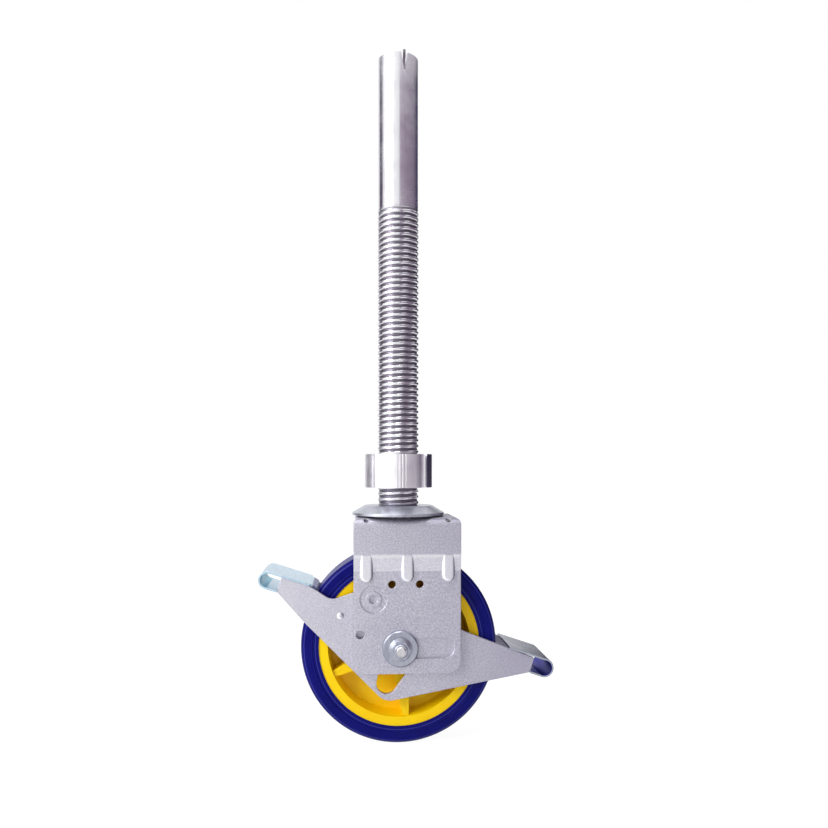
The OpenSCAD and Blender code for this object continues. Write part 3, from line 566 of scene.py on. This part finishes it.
def floor_material():
    """Pale floor that the camera and reflections see as plain white, with the object's faint shadow."""
    material, tree, shader = new_material("studio_white")
    shader.inputs["Base Color"].default_value = rgba(FLOOR_COLOUR)
    shader.inputs["Roughness"].default_value = FLOOR_ROUGH
    glow = tree.nodes.new("ShaderNodeEmission")
    glow.inputs["Strength"].default_value = FLOOR_GLOW
    mix = tree.nodes.new("ShaderNodeMixShader")
    link(tree, math_node(tree, "MULTIPLY", seen_directly(tree), FLOOR_SHARE), mix.inputs[0])
    link(tree, shader.outputs[0], mix.inputs[1])
    link(tree, glow.outputs[0], mix.inputs[2])
    link(tree, mix.outputs[0], tree.nodes["Material Output"].inputs["Surface"])
    return material


def flag_material():
    """Dim cloth whose shade follows the azimuth, darker towards the back."""
    material, tree, shader = new_material("flag_cloth")
    x, y, z = axes(tree)
    azimuth = math_node(tree, "ARCTAN2", y, x)
    place = spread(tree, azimuth, 0.0, 1.0, SHADES_FROM, SHADES_TO)
    glow = tree.nodes.new("ShaderNodeEmission")
    link(tree, ramp(tree, place, FLAG_SHADES), glow.inputs["Color"])
    link(tree, glow.outputs[0], tree.nodes["Material Output"].inputs["Surface"])
    return material


def stage_object(name, points, faces, material):
    """A mesh that belongs to the studio and not to the part."""
    mesh = bpy.data.meshes.new(name)
    mesh.from_pydata(points, [], faces)
    o = bpy.data.objects.new(name, mesh)
    bpy.context.scene.collection.objects.link(o)
    mesh.materials.append(material)
    return o


def flag_piece(name, first, last, material):
    """Curved cloth between two azimuths, which only reflections see."""
    points, faces = [], []
    for i in range(FLAG_STEPS + 1):
        azimuth = math.radians(first + (last - first) * i / FLAG_STEPS)
        for height in (up(0), FLAG_TOP):
            points.append((FLAG_R * math.cos(azimuth), FLAG_R * math.sin(azimuth), height))
    for i in range(FLAG_STEPS):
        faces.append((2 * i, 2 * i + 2, 2 * i + 3, 2 * i + 1))
    o = stage_object(name, points, faces, material)
    o.visible_camera = False
    o.visible_shadow = False
    o.visible_diffuse = False


floor_height = up(0) - FLOOR_SINK
floor_signs = ((-1, -1), (1, -1), (1, 1), (-1, 1))
floor_corners = [(i * FLOOR_REACH, j * FLOOR_REACH, floor_height) for i, j in floor_signs]
stage_object("floor", floor_corners, [(0, 1, 2, 3)], floor_material())

flag_cloth = flag_material()
for flag_name, flag_first, flag_last in FLAGS:
    flag_piece(flag_name, flag_first, flag_last, flag_cloth)

world = bpy.data.worlds.new("studio")
bpy.context.scene.world = world
world.use_nodes = True
world_tree = world.node_tree
background = world_tree.nodes["Background"]
background.inputs["Color"].default_value = (1, 1, 1, 1)
world_strength = spread(world_tree, seen_directly(world_tree), WORLD_LIGHT, 1.0, 0.0, 1.0)
link(world_tree, world_strength, background.inputs["Strength"])


# Lamps: name, place, aim, size and power
LAMPS = (
    ("key", (-1.25, -0.85, 0.35), (0, 0, -0.35), (0.7, 1.1), 21),
    ("top", (-0.25, -0.35, 1.3), (0, 0, -0.3), (0.6, 0.6), 8),
)
for lamp_name, lamp_place, lamp_aim, lamp_size, lamp_power in LAMPS:
    lamp = bpy.data.lights.new(lamp_name, "AREA")
    lamp.shape = "RECTANGLE"
    lamp.size, lamp.size_y = lamp_size
    lamp.energy = lamp_power
    lamp_object = bpy.data.objects.new(lamp_name, lamp)
    lamp_object.location = lamp_place
    beam = Vector(lamp_aim) - Vector(lamp_place)
    lamp_object.rotation_euler = beam.to_track_quat("-Z", "Y").to_euler()
    bpy.context.scene.collection.objects.link(lamp_object)


# Camera, fitted to the photograph: sizes in its pixels, then the eye in metres and its turn in radians
PHOTO_WIDTH = 828
FOCAL_LENGTH = 800.02
HORIZON = 464.15
SENSOR = 36.0
EYE = (-0.05126, -0.85122, up(289.41))
EYE_TURN = -0.080

camera_data = bpy.data.cameras.new("camera")
camera = bpy.data.objects.new("camera", camera_data)
bpy.context.scene.collection.objects.link(camera)
camera_data.sensor_fit = "HORIZONTAL"
camera_data.sensor_width = SENSOR
camera_data.lens = FOCAL_LENGTH / PHOTO_WIDTH * SENSOR
camera_data.shift_x = 0.0
camera_data.shift_y = (HORIZON - PHOTO_WIDTH / 2) / PHOTO_WIDTH
camera.location = EYE
camera.rotation_euler = (math.radians(90), 0, EYE_TURN)
bpy.context.scene.camera = camera

bpy.context.scene.view_settings.view_transform = "Standard"
